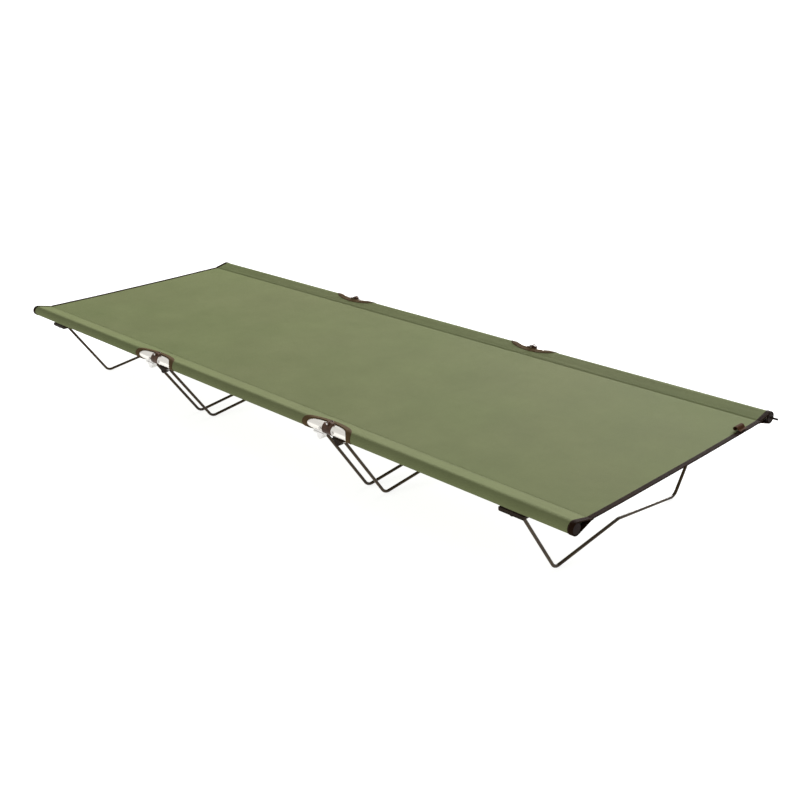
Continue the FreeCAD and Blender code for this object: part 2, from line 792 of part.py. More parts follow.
rails()
end_plugs()
section_hinges()
legs_and_brackets()
rivets()
cloth()
check()
os.makedirs("parts", exist_ok=True)
for node in NODES:
    node.Shape.exportStep(os.path.join("parts", node.Label + ".step"))
print(len(NODES), "pieces written")
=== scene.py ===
import json
import math

import bmesh
import bpy
import numpy as np
from mathutils import Matrix, Vector


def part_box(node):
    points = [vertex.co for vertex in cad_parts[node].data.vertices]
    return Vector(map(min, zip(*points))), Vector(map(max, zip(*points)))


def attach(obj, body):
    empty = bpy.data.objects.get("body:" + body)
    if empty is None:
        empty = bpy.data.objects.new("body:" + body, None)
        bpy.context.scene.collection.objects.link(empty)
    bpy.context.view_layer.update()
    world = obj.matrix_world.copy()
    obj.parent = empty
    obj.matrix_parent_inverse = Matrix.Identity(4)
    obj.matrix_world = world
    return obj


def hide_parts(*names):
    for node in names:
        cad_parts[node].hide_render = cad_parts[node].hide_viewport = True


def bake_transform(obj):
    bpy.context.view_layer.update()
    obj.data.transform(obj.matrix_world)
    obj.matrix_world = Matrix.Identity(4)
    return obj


# The looks of a low tri-fold camp cot: a taut green cloth with a sleeve along each rail, bound in
# dark tape, on jointed aluminium rails and bent wire legs. Metres, X along the bed, Z up.

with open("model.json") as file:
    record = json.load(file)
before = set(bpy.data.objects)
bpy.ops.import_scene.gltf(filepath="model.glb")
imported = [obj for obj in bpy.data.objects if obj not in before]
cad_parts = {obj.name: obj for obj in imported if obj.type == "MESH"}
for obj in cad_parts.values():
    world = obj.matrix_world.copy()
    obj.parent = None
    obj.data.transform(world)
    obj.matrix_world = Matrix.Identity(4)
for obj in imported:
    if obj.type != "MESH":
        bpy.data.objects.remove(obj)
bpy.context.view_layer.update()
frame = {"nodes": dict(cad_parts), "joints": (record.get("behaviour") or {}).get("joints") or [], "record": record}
scene = bpy.context.scene


# ---------------------------------------------------------------- sizes, read from the frame

def centre(node):
    low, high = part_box(node)
    return (low + high) / 2


JOINTS = {j["name"]: j for j in frame["joints"]}
BED_TOP = frame["record"]["mounts"][0]["pos_m"][2]
HALF_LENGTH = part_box("cloth_right")[1].x
HINGE_X = JOINTS["fold_right"]["pos_m"][0]
RAIL_Y = centre("rail_middle_far").y
RAIL_Z = centre("rail_middle_far").z
LEG_END_X = JOINTS["turn_leg_right_outer"]["pos_m"][0]

CLOTH = 0.0009                                  # thickness of the cloth
SLEEVE = 0.01195                                # radius of the cloth's middle round a rail
SEAM_Y = 0.284                                  # where a sleeve's two layers are sewn together
HEM = 0.007                                     # lower layer past the seam
BED_Z = BED_TOP - CLOTH / 2                     # middle of the cloth

CUT_HALF = {"left": 0.0685, "right": 0.062}     # half a cut-out's length, in the flat cloth
CUT_DEPTH = 0.0275                              # half its width
CUT_REACH = 0.12                                # how far along the bed the mesh makes way for one
SLIT_X, SLIT_Y = 0.0235, 0.0066                 # half of the slit that a bracket's ridge passes through

TAPE = 0.0125                                   # binding round a cut-out, on each face
END_TAPE = 0.010                                # binding over an end, on each face
TAPE_THICK = 0.0007
TAPE_CROWN = 0.00012                            # how far a tape's middle stands over its edges
ON_TAPE = CLOTH / 2 + TAPE_THICK + 0.0001       # height of stitches over the cloth's middle
LABEL_THICK = 0.0006
STITCH = 0.0031                                 # length of a stitch
STITCH_PITCH = 0.0042                           # from one stitch to the next
TAPE_THREAD, SEAM_THREAD = 0.00028, 0.00026     # radius of the thread
SEAM_ROWS = (0.0008, 0.0058)                    # the rows of stitches, past the seam

SAG = 0.0022                                    # dip of the bed's middle
BED_RIPPLE = 0.00035                            # slow ripples of the bed
CORNER_RIPPLE = 0.00022                         # creases at the bed's corners
CUT_RIPPLE = 0.0005                             # puckers beside a cut-out
SLEEVE_RIPPLE = 0.00016                         # ripples of the sleeves
SEAM_GROOVE = 0.0006                            # the seam, drawn into the cloth
RIM_SWELL = 0.0001                              # the cloth at a cut-out's rim


# ---------------------------------------------------------------- camera, light and floor

CAMERA_PLACE = (1.8656, -1.6128, 1.0353)
CAMERA_ANGLES = (46.10, 21.58, -1.38)           # yaw, pitch and roll, degrees
CAMERA_LENS = 48.16                             # millimetres, on a 36 mm sensor
KEY_PLACE, KEY_AIM = (-1.6, 6.0, 2.6), (0, 0, 0.1)
KEY_SIZE, KEY_WATTS = (3.6, 2.0), 980
WORLD_STRENGTH = 0.76
FLOOR_REACH = 160


def add_camera():
    """Camera at the photograph's viewing angle."""
    yaw, pitch, roll = (math.radians(a) for a in CAMERA_ANGLES)
    level = math.cos(pitch)
    ahead = Vector((-math.sin(yaw) * level, math.cos(yaw) * level, -math.sin(pitch)))
    right = ahead.cross(Vector((0, 0, 1))).normalized()
    up = right.cross(ahead)
    side = right * math.cos(roll) + up * math.sin(roll)
    top = up * math.cos(roll) - right * math.sin(roll)
    data = bpy.data.cameras.new("camera")
    data.lens = CAMERA_LENS
    data.sensor_width = 36
    camera = bpy.data.objects.new("camera", data)
    turn = Matrix((side, top, -ahead)).transposed().to_4x4()
    camera.matrix_world = Matrix.Translation(CAMERA_PLACE) @ turn
    scene.collection.objects.link(camera)
    scene.camera = camera


def add_key_light():
    """A large soft light behind the bed's far side."""
    data = bpy.data.lights.new("key", "AREA")
    data.shape = "RECTANGLE"
    data.size, data.size_y = KEY_SIZE
    data.energy = KEY_WATTS
    light = bpy.data.objects.new("key", data)
    light.location = KEY_PLACE
    light.visible_camera = False
    light.rotation_euler = (Vector(KEY_AIM) - Vector(KEY_PLACE)).to_track_quat("-Z", "Y").to_euler()
    scene.collection.objects.link(light)


def add_world():
    """Even white light from all round."""
    world = bpy.data.worlds.new("studio")
    scene.world = world
    world.use_nodes = True
    background = world.node_tree.nodes["Background"]
    background.inputs["Color"].default_value = (1, 1, 1, 1)
    background.inputs["Strength"].default_value = WORLD_STRENGTH


def add_floor():
    """A matt floor that shows as white."""
    mesh = bpy.data.meshes.new("floor")
    sides = ((-1, -1), (1, -1), (1, 1), (-1, 1))
    corners = [(x * FLOOR_REACH, y * FLOOR_REACH, 0) for x, y in sides]
    mesh.from_pydata(corners, [], [(0, 1, 2, 3)])
    floor = bpy.data.objects.new("floor", mesh)
    scene.collection.objects.link(floor)
    mat = bpy.data.materials.new("floor")
    mat.use_nodes = True
    shader = mat.node_tree.nodes["Principled BSDF"]
    shader.inputs["Base Color"].default_value = (0.4, 0.4, 0.4, 1)
    shader.inputs["Roughness"].default_value = 0.9
    shader.inputs["Specular IOR Level"].default_value = 0.0
    shader.inputs["Emission Color"].default_value = (1, 1, 1, 1)
    shader.inputs["Emission Strength"].default_value = 0.85
    mesh.materials.append(mat)


# ---------------------------------------------------------------- materials

class Nodes:
    """A material whose nodes are added one call at a time."""

    def __init__(self, name, **settings):
        self.mat = bpy.data.materials.new(name)
        self.mat.use_nodes = True
        self.tree = self.mat.node_tree
        self.shader = self.tree.nodes["Principled BSDF"]
        for key, value in settings.items():
            self.shader.inputs[key.replace("_", " ")].default_value = value

    def add(self, kind, settings=None, **inputs):
        node = self.tree.nodes.new(kind)
        for key, value in (settings or {}).items():
            setattr(node, key, value)
        for key, value in inputs.items():
            self.feed(node.inputs[key.replace("_", " ")], value)
        return node

    def feed(self, socket, value):
        if isinstance(value, bpy.types.NodeSocket):
            self.tree.links.new(value, socket)
        else:
            socket.default_value = value

    def math(self, operation, a, b=0.0):
        node = self.tree.nodes.new("ShaderNodeMath")
        node.operation = operation
        self.feed(node.inputs[0], a)
        self.feed(node.inputs[1], b)
        return node.outputs[0]

    def coordinates(self, uv=None):
        if uv:
            return self.add("ShaderNodeUVMap", {"uv_map": uv}).outputs["UV"]
        return self.add("ShaderNodeTexCoord").outputs["Object"]

    def stretched(self, vector, scale):
        node = self.add("ShaderNodeMapping", Vector=vector)
        node.inputs["Scale"].default_value = scale
        return node.outputs["Vector"]

    def noise(self, vector, scale, detail=4.0, roughness=0.55):
        node = self.add("ShaderNodeTexNoise", Vector=vector, Scale=scale, Detail=detail,
                        Roughness=roughness)
        return node.outputs["Fac"]

    def span(self, value, low, high, start=0.0, stop=1.0):
        """value, from low..high to start..stop, and no further."""
        node = self.add("ShaderNodeMapRange", Value=value)
        for key, number in zip(("From Min", "From Max", "To Min", "To Max"), (low, high, start, stop)):
            node.inputs[key].default_value = number
        return node.outputs["Result"]

    def mix(self, share, a, b, blend="MIX"):
        node = self.add("ShaderNodeMix", {"data_type": "RGBA", "blend_type": blend})
        self.feed(node.inputs[0], share)
        for socket, value in ((node.inputs[6], a), (node.inputs[7], b)):
            self.feed(socket, (*value, 1) if isinstance(value, tuple) else value)
        return node.outputs[2]

    def bump(self, height, distance, strength=1.0, under=None):
        node = self.add("ShaderNodeBump", Height=height, Distance=distance, Strength=strength)
        if under:
            self.feed(node.inputs["Normal"], under)
        return node.outputs["Normal"]

    def finish(self, colour, roughness, normal):
        self.feed(self.shader.inputs["Base Color"], colour)
        self.feed(self.shader.inputs["Roughness"], roughness)
        self.feed(self.shader.inputs["Normal"], normal)
        return self.mat


def woven(name, dark, light, pitch, depth, rough, mottle, **settings):
    """Plain weave: two sets of threads that pass over and under each other, with slubs, slow changes of
    colour and painted shade in the gaps between threads. pitch is the distance between threads."""
    n = Nodes(name, **settings)
    flat = n.coordinates("flat")
    split = n.add("ShaderNodeSeparateXYZ", Vector=flat)
    along = n.math("MULTIPLY", split.outputs["X"], math.pi / pitch)
    across = n.math("MULTIPLY", split.outputs["Y"], math.pi / pitch)
    warp = n.math("ABSOLUTE", n.math("SINE", across))
    weft = n.math("ABSOLUTE", n.math("SINE", along))
    over = n.math("MULTIPLY", n.math("COSINE", along), n.math("COSINE", across))
    chosen = n.span(over, -0.35, 0.35)
    threads = n.math("ADD", n.math("MULTIPLY", warp, chosen),
                     n.math("MULTIPLY", weft, n.math("SUBTRACT", 1.0, chosen)))
    slub_x = n.noise(n.stretched(flat, (14, 900, 1)), 1.0, 3)
    slub_y = n.noise(n.stretched(flat, (900, 14, 1)), 1.0, 3)
    slubs = n.math("ADD", n.math("MULTIPLY", slub_x, 0.5), n.math("MULTIPLY", slub_y, 0.5))
    cloud = n.noise(flat, 7.0, 5, 0.6)
    patch = n.noise(flat, 2.3, 2)
    tone = n.math("ADD", n.math("MULTIPLY", cloud, 0.55), n.math("MULTIPLY", slubs, 0.45))
    colour = n.mix(n.span(tone, 0.36, 0.64), dark, light)
    tint = n.mix(n.span(patch, 0.35, 0.65), (1.0, 1.0, 1.0), mottle)
    colour = n.mix(1.0, colour, tint, "MULTIPLY")
    # painted shade: the gaps between threads are darkened towards black
    colour = n.mix(n.span(threads, 0.0, 1.0, 0.16, 0.0), colour, (0.0, 0.0, 0.0))
    roughness = n.span(n.math("ADD", n.math("MULTIPLY", cloud, 0.5), n.math("MULTIPLY", slubs, 0.5)),
                       0.3, 0.7, rough - 0.06, rough + 0.06)
    weave = n.bump(n.math("ADD", threads, n.math("MULTIPLY", slubs, 0.6)), depth)
    soft = n.bump(cloud, 0.0006, 0.5, under=weave)
    return n.finish(colour, roughness, soft)


def moulded(name, dark, light, rough, **settings):
    """Injection-moulded plastic with a fine grain, scuffs and paler rubbed patches."""
    n = Nodes(name, **settings)
    spot = n.coordinates()
    cloud = n.noise(spot, 60, 4)
    scuff = n.noise(n.stretched(spot, (60, 420, 420)), 1.0, 5, 0.7)
    grain = n.noise(spot, 2600, 2)
    colour = n.mix(n.span(cloud, 0.35, 0.65), dark, light)
    rubbed = tuple(min(1.0, c * 1.9 + 0.012) for c in light)
    colour = n.mix(n.span(scuff, 0.58, 0.8, 0.0, 0.55), colour, rubbed)
    roughness = n.span(n.math("ADD", n.math("MULTIPLY", cloud, 0.5), n.math("MULTIPLY", scuff, 0.5)),
                       0.3, 0.7, rough - 0.1, rough + 0.1)
    normal = n.bump(scuff, 0.0001, 0.4, under=n.bump(grain, 0.00008, 0.6))
    return n.finish(colour, roughness, normal)


def drawn_metal(name, colour, rough, scratch, grime, along=(3, 700, 700), **settings):
    """Drawn metal: fine lines along it, a few handling marks and dulled patches."""
    n = Nodes(name, Metallic=1.0, **settings)
    spot = n.coordinates()
    lines = n.noise(n.stretched(spot, along), 1.0, 4, 0.6)
    marks = n.noise(n.stretched(spot, (180, 60, 180)), 1.0, 5, 0.75)
    cloud = n.noise(spot, 18, 4)
    base = n.mix(n.span(lines, 0.35, 0.65), colour, tuple(c * 0.88 for c in colour))
    base = n.mix(n.span(cloud, 0.45, 0.75, 0.0, 0.5), base, grime)
    base = n.mix(n.span(marks, 0.62, 0.75, 0.0, 0.4), base, scratch)
    roughness = n.span(n.math("ADD", n.math("MULTIPLY", lines, 0.5), n.math("MULTIPLY", cloud, 0.5)),
                       0.3, 0.7, rough - 0.08, rough + 0.1)
    normal = n.bump(marks, 0.00006, 0.5, under=n.bump(lines, 0.00005, 0.5))
    return n.finish(base, roughness, normal)


def coated_wire(name):
    """Dark bronze lacquer on spring wire, worn to paler metal in places."""
    n = Nodes(name, Specular_IOR_Level=0.2)
    spot = n.coordinates()
    lines = n.noise(n.stretched(spot, (500, 25, 25)), 1.0, 4)
    cloud = n.noise(spot, 22, 4)
    chips = n.noise(spot, 240, 4, 0.7)
    colour = n.mix(n.span(cloud, 0.35, 0.65), (0.026, 0.014, 0.005), (0.050, 0.030, 0.011))
    worn = n.span(n.math("ADD", n.math("MULTIPLY", chips, 0.7), n.math("MULTIPLY", cloud, 0.3)),
                  0.64, 0.70, 0.0, 0.5)
    colour = n.mix(worn, colour, (0.16, 0.12, 0.07))
    n.feed(n.shader.inputs["Metallic"], n.span(worn, 0.0, 0.5, 0.0, 0.7))
    roughness = n.span(lines, 0.3, 0.7, 0.3, 0.46)
    normal = n.bump(chips, 0.00008, 0.4, under=n.bump(lines, 0.00005, 0.5))
    return n.finish(colour, roughness, normal)


MATERIALS = {
    "bed_cloth": woven("bed_cloth", (0.129, 0.144, 0.066), (0.155, 0.170, 0.082), 0.0011, 0.00016,
                       0.8, (0.97, 1.01, 0.96), Specular_IOR_Level=0.03),
    "binding_tape": woven("binding_tape", (0.010, 0.0045, 0.002), (0.022, 0.010, 0.005), 0.0009,
                          0.00016, 0.75, (0.9, 0.86, 0.84), Specular_IOR_Level=0.02),
    # rim_tape is the dark binding tape in a lighter brown: painted light on the cut-outs' rims, where they catch
    # the light
    "rim_tape": woven("rim_tape", (0.056, 0.036, 0.016), (0.112, 0.072, 0.034), 0.0009, 0.00016,
                      0.75, (0.92, 0.88, 0.84), Specular_IOR_Level=0.03),
    "label_tape": woven("label_tape", (0.032, 0.012, 0.005), (0.078, 0.034, 0.014), 0.0009,
                        0.00016, 0.75, (0.95, 0.9, 0.88), Specular_IOR_Level=0.03),
    # thread_green: a darker olive than the cloth, partly the thread's own colour and partly painted shade for the
    # dark line along each seam
    "thread_green": moulded("thread_green", (0.060, 0.070, 0.026), (0.090, 0.102, 0.042), 0.7,
                            Specular_IOR_Level=0.15),
    "thread_brown": moulded("thread_brown", (0.030, 0.016, 0.008), (0.070, 0.040, 0.022), 0.65,
                            Specular_IOR_Level=0.2),
    "rail_aluminium": drawn_metal("rail_aluminium", (0.96, 0.925, 0.86), 0.3, (0.98, 0.97, 0.95),
                                  (0.82, 0.79, 0.73)),
    "rivet_steel": drawn_metal("rivet_steel", (0.58, 0.56, 0.53), 0.34, (0.8, 0.78, 0.74),
                               (0.3, 0.27, 0.23), along=(500, 500, 60)),
    "hinge_nylon": moulded("hinge_nylon", (0.045, 0.022, 0.013), (0.092, 0.050, 0.032), 0.42,
                           Specular_IOR_Level=0.12),
    "bracket_alloy": drawn_metal("bracket_alloy", (0.82, 0.81, 0.79), 0.4, (0.93, 0.92, 0.9),
                                 (0.68, 0.66, 0.62), along=(90, 90, 90)),
    "bracket_nylon": moulded("bracket_nylon", (0.012, 0.008, 0.005), (0.028, 0.018, 0.011), 0.6,
                             Specular_IOR_Level=0.06),
    "black_plastic": moulded("black_plastic", (0.008, 0.005, 0.004), (0.018, 0.011, 0.009), 0.6,
                             Specular_IOR_Level=0.05),
    "spring_wire": coated_wire("spring_wire"),
}


# ---------------------------------------------------------------- the cloth's surface
# A point of the flat cloth is (x, s): x along the bed, s across it, from the near lower hem, round
# the near rail, over the bed, round the far rail to the far lower hem.

def sleeve_path():
    """The far sleeve's section as (y, z) points, from the bed's seam to the end of the lower layer."""
    out = math.hypot(RAIL_Y - SEAM_Y, BED_Z - RAIL_Z)
    lean = math.acos(SLEEVE / out)
    towards = math.atan2(BED_Z - RAIL_Z, SEAM_Y - RAIL_Y)
    top, bottom = towards - lean, towards + lean - 2 * math.pi
    angles = np.linspace(top, bottom, 90)
    arc = np.stack([RAIL_Y + SLEEVE * np.cos(angles), RAIL_Z + SLEEVE * np.sin(angles)], 1)
    low_z = BED_Z - 1.35 * CLOTH
    return np.concatenate([[[SEAM_Y, BED_Z]], arc, [[SEAM_Y, low_z], [SEAM_Y - HEM, low_z - 0.0006]]])


def run_lengths(line):
    """The run length at each point of a line, from its start."""
    return np.concatenate([[0], np.cumsum(np.linalg.norm(np.diff(line, axis=0), axis=1))])


def resample(points, step):
    """(run lengths, points) a step apart along a line."""
    run = run_lengths(points)
    at = np.linspace(0, run[-1], int(round(run[-1] / step)) + 1)
    return at, np.stack([np.interp(at, run, points[:, i]) for i in (0, 1)], 1)


def section():
    """The whole section, its corners eased, as run lengths and (y, z) points a quarter of a
    millimetre apart."""
    far = sleeve_path()
    near = far[::-1] * [-1, 1]
    at, path = resample(np.concatenate([near, far]), 0.00025)
    spread = np.arange(-16, 17)
    weight = np.exp(-(spread / 6.0) ** 2 / 2)
    weight /= weight.sum()
    padded = np.concatenate([2 * path[0] - path[16:0:-1], path, 2 * path[-1] - path[-2:-18:-1]])
    eased = np.stack([np.convolve(padded[:, i], weight, "valid") for i in (0, 1)], 1)
    return at, eased


RUN, PATH = section()
WIDTH = RUN[-1]
SLOPE = np.gradient(PATH, RUN, axis=0)
SLOPE /= np.linalg.norm(SLOPE, axis=1)[:, None]


def run_at(y, upper=True):
    """The run length where the section's upper or lower layer passes y."""
    half = len(RUN) // 2
    outermost = int(np.argmax(PATH[:, 0]))
    part = slice(half, outermost) if upper else slice(outermost, None)
    ys, ss = PATH[part, 0], RUN[part]
    found = np.interp(abs(y), ys, ss) if upper else np.interp(-abs(y), -ys, ss)
    return float(found if y > 0 else WIDTH - found)


SIDE_S = {"far": float(RUN[np.argmax(PATH[:, 0])]), "near": float(RUN[np.argmin(PATH[:, 0])])}
SEAM_RUN = {"far": run_at(SEAM_Y), "near": run_at(-SEAM_Y)}


def smooth(value):
    t = np.clip(value, 0, 1)
    return t * t * (3 - 2 * t)


def wave(x, s, seed, stretch_x, stretch_s):
    """Slow, repeatable ripples made of a few sines."""
    rng = np.random.default_rng(seed)
    total = np.zeros_like(x)
    for _ in range(7):
        a, b = rng.normal(size=2)
        total += np.sin(a * x / stretch_x + b * s / stretch_s + rng.uniform(0, 6.28))
    return total / 3.5


def relief(x, s, y):
    """How far the cloth stands off its plain section at flat positions x, s that lie at y."""
    off_middle = np.abs(s - WIDTH / 2)
    on_bed = off_middle < SEAM_Y
    inboard = SEAM_Y - np.abs(y)
    to_end = HALF_LENGTH - np.abs(x)
    to_hinge = np.abs(np.abs(x) - HINGE_X)
    bed = smooth(inboard / 0.05) * on_bed
    sleeve = smooth((off_middle - SEAM_Y) / 0.012)

    lift = -SAG * np.clip(1 - (y / SEAM_Y) ** 2, 0, 1) * on_bed
    lift *= 1 + 0.25 * np.cos(math.pi * x / HALF_LENGTH)
    lift += BED_RIPPLE * wave(x, s, 3, 0.16, 0.10) * bed

    by_corner = np.exp(-(np.hypot(to_end / 0.16, inboard / 0.10)) ** 2) * bed
    lift += CORNER_RIPPLE * by_corner * np.sin((to_end * 0.75 + inboard) / 0.0075)
    by_cut = np.exp(-(to_hinge / 0.10) ** 2 - (inboard / 0.03) ** 2)
    lift += CUT_RIPPLE * by_cut * np.sin(to_hinge / 0.011) * (off_middle < SEAM_Y + 0.02)

    lift += SLEEVE_RIPPLE * wave(x, s, 8, 0.09, 0.0024) * sleeve * smooth(to_end / 0.03)
    from_groove = inboard + SEAM_ROWS[0]
    lift -= SEAM_GROOVE * np.exp(-(from_groove / 0.0022) ** 2) * (off_middle < RAIL_Y)

    reach = np.abs(off_middle - (SIDE_S["far"] - WIDTH / 2))
    half = np.where(x < 0, CUT_HALF["left"], CUT_HALF["right"])
    rim = np.hypot(to_hinge / half, reach / CUT_DEPTH)
    return lift + RIM_SWELL * (1 - smooth((rim - 1.05) / 0.35))


def surface(x, s):
    """(points, normals) of the hung cloth's middle at flat positions x, s. Normals face up or out."""
    x, s = np.broadcast_arrays(np.asarray(x, float), np.asarray(s, float))
    y, z = (np.interp(s, RUN, PATH[:, i]) for i in (0, 1))
    ty, tz = (np.interp(s, RUN, SLOPE[:, i]) for i in (0, 1))
    length = np.hypot(ty, tz)
    normal = np.stack([np.zeros_like(y), -tz / length, ty / length], -1)
    point = np.stack([x, y, z], -1) + normal * relief(x, s, y)[..., None]
    return point, normal


def tangents(x, s):
    """Unit vectors along x and along s on the hung cloth, and the normal between them."""
    step = 0.0004
    dx = surface(x + step, s)[0] - surface(x - step, s)[0]
    ds = surface(x, s + step)[0] - surface(x, s - step)[0]
    dx /= np.linalg.norm(dx, axis=-1, keepdims=True)
    ds /= np.linalg.norm(ds, axis=-1, keepdims=True)
    return dx, ds, np.cross(dx, ds)


# ---------------------------------------------------------------- mesh helpers

def make_object(name, points, faces, flat, slot):
    """A smooth mesh object. Its UV map, called flat, holds each corner's place in the flat cloth."""
    mesh = bpy.data.meshes.new(name)
    mesh.from_pydata([tuple(p) for p in points], [], [tuple(f) for f in faces])
    layer = mesh.uv_layers.new(name="flat")
    corners = np.zeros(len(mesh.loops), int)
    mesh.loops.foreach_get("vertex_index", corners)
    layer.data.foreach_set("uv", np.asarray(flat, np.float32)[corners].ravel())
    mesh.shade_smooth()
    mesh.materials.append(MATERIALS[slot])
    obj = bpy.data.objects.new(name, mesh)
    scene.collection.objects.link(obj)
    return obj


def freeze(obj):
    """Applies the object's modifiers to its mesh, and creases its sharp edges."""
    graph = bpy.context.evaluated_depsgraph_get()
    mesh = bpy.data.meshes.new_from_object(obj.evaluated_get(graph))
    obj.modifiers.clear()
    obj.data = mesh
    shape = bmesh.new()
    shape.from_mesh(mesh)
    for edge in shape.edges:
        edge.smooth = edge.calc_face_angle(0) < math.radians(50)
    shape.to_mesh(mesh)
    shape.free()


def grid_faces(index):
    corners = [index[:-1, :-1], index[1:, :-1], index[1:, 1:], index[:-1, 1:]]
    return np.stack(corners, -1).reshape(-1, 4)


def thicken(obj, thickness):
    """Gives a sheet its thickness, half on either side."""
    thick = obj.modifiers.new("thickness", "SOLIDIFY")
    thick.thickness = thickness
    thick.offset = 0
    freeze(obj)


def spaced(stops, steps):
    """Values from the first stop to the last, each span cut into steps of about the given size."""
    parts = [np.linspace(a, b, max(1, math.ceil((b - a) / step - 1e-9)), endpoint=False)
             for a, b, step in zip(stops, stops[1:], steps)]
    return np.concatenate(parts + [[stops[-1]]])


# ---------------------------------------------------------------- the bed's cloth

def rows():
    """Where the cloth is divided across, finer round the rails and at the rims of the cut-outs."""
    half = WIDTH / 2
    side = SIDE_S["far"]
    turn = np.linspace(0, math.pi, 23)
    low = -np.cos(turn) * CUT_DEPTH + side
    bed = spaced([half, half + SEAM_Y - 0.02, SEAM_RUN["far"] - 0.004, SEAM_RUN["far"] + 0.006, low[0]],
                 [0.009, 0.003, 0.00125, 0.003])
    slit = [run_at(RAIL_Y + d, upper=False) for d in (SLIT_Y, -SLIT_Y)]
    after = spaced([low[-1], WIDTH], [0.004])
    far = np.unique(np.concatenate([bed, low, slit, after]).round(7))
    keep = np.concatenate([[True], np.diff(far) > 0.0003])
    far = far[keep]
    return np.concatenate([2 * half - far[:0:-1], far])


def open_half(s, end, side):
    """Half the length of a cut-out at s, or 0 outside it."""
    t = (s - SIDE_S[side]) / CUT_DEPTH
    return CUT_HALF[end] * np.sqrt(np.clip(1 - t * t, 0, 1))


def bed_cloth(end, way):
    """Half of the cloth, from the middle of the bed to one end."""
    s = rows()
    inner = spaced([0, HINGE_X - CUT_REACH, HINGE_X - 0.024, HINGE_X], [0.010, 0.006, 0.0022])
    outer = spaced([HINGE_X, HINGE_X + 0.024, HINGE_X + CUT_REACH, LEG_END_X - SLIT_X,
                    LEG_END_X + SLIT_X, HALF_LENGTH - 0.03, HALF_LENGTH],
                   [0.0022, 0.006, 0.010, 0.0094, 0.010, 0.004])
    gap = open_half(s, end, "near") + open_half(s, end, "far")
    points, flats, index = [], [], []
    count = 0
    for columns, sign in ((inner, -1), (outer, 1)):
        away = np.abs(columns - HINGE_X)[:, None]
        pushed = np.where(away < CUT_REACH, gap + away * (1 - gap / CUT_REACH), away)
        x = way * (HINGE_X + sign * pushed)
        at = np.broadcast_to(s, x.shape)
        points.append(surface(x, at)[0].reshape(-1, 3))
        flats.append(np.stack([x, at], -1).reshape(-1, 2))
        index.append(np.arange(x.size).reshape(x.shape) + count)
        count += x.size
    shut = gap < 1e-6
    index[1][0, shut] = index[0][-1, shut]
    faces = np.concatenate([grid_faces(part) for part in index])
    points, flats = np.concatenate(points), np.concatenate(flats)
    middle = flats[faces].mean(1)
    under = np.abs(np.abs(middle[:, 1] - WIDTH / 2) - (run_at(RAIL_Y, upper=False) - WIDTH / 2))
    in_slit = (np.abs(np.abs(middle[:, 0]) - LEG_END_X) < SLIT_X) & (under < SLIT_Y)
    faces = faces[~in_slit]
    if way < 0:
        faces = faces[:, ::-1]
    used, faces = np.unique(faces, return_inverse=True)
    obj = make_object(f"bed_cloth_{end}", points[used], faces.reshape(-1, 4), flats[used], "bed_cloth")
    thicken(obj, CLOTH)
    flat_area = HALF_LENGTH * WIDTH - 2 * math.pi * CUT_HALF[end] * CUT_DEPTH
    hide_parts(f"cloth_{end}", "cloth_middle")
    return obj, flat_area


# ---------------------------------------------------------------- binding tape and stitches

def band(name, line, out, width, slot, closed):
    """Tape folded over an edge. line is the edge in the flat cloth, out the way off the cloth at each
    of its points, and width what the tape covers on each face."""
    profile = np.array(tape_profile(width))
    flat = line[:, None, :] - out[:, None, :] * profile[None, :, :1]
    point, _ = surface(flat[..., 0], flat[..., 1])
    _, _, normal = tangents(flat[..., 0], flat[..., 1])
    point = point + normal * profile[None, :, 1:]
    n, m = len(line), len(profile)
    index = np.arange(n * m).reshape(n, m)
    index = np.concatenate([index, index[:, :1]], 1)
    if closed:
        index = np.concatenate([index, index[:1]], 0)
    faces = [tuple(f) for f in grid_faces(index)]
    if not closed:
        faces += [tuple(range(m))[::-1], tuple(range((n - 1) * m, n * m))]
    uv = np.stack(np.broadcast_arrays(run_lengths(line)[:, None], run_lengths(profile)), -1)
    return make_object(name, point.reshape(-1, 3), faces, uv.reshape(-1, 2), slot)


def tape_profile(width):
    """A U round the cloth's edge: flat legs on both faces and a round fold over the edge, as (distance
    into the cloth, height over it)."""
    inner = CLOTH / 2 + 0.00004
    outer = inner + TAPE_THICK
    legs = np.linspace(width, 0.0012, 6)
    top = [(d, outer + TAPE_CROWN * math.sin(math.pi * (d / width))) for d in legs]
    top[0] = (width - 0.0002, outer - 0.00012)
    turns = np.linspace(0.15, math.pi - 0.15, 9)
    fold = [(-outer * math.sin(a) * 0.9, outer * math.cos(a)) for a in turns]
    low = [(d, -h * 0.86) for d, h in reversed(top)]
    hollow = [(width, -inner), (0.0006, -inner), (-0.00015, 0), (0.0006, inner), (width, inner)]
    return top + fold + low + hollow


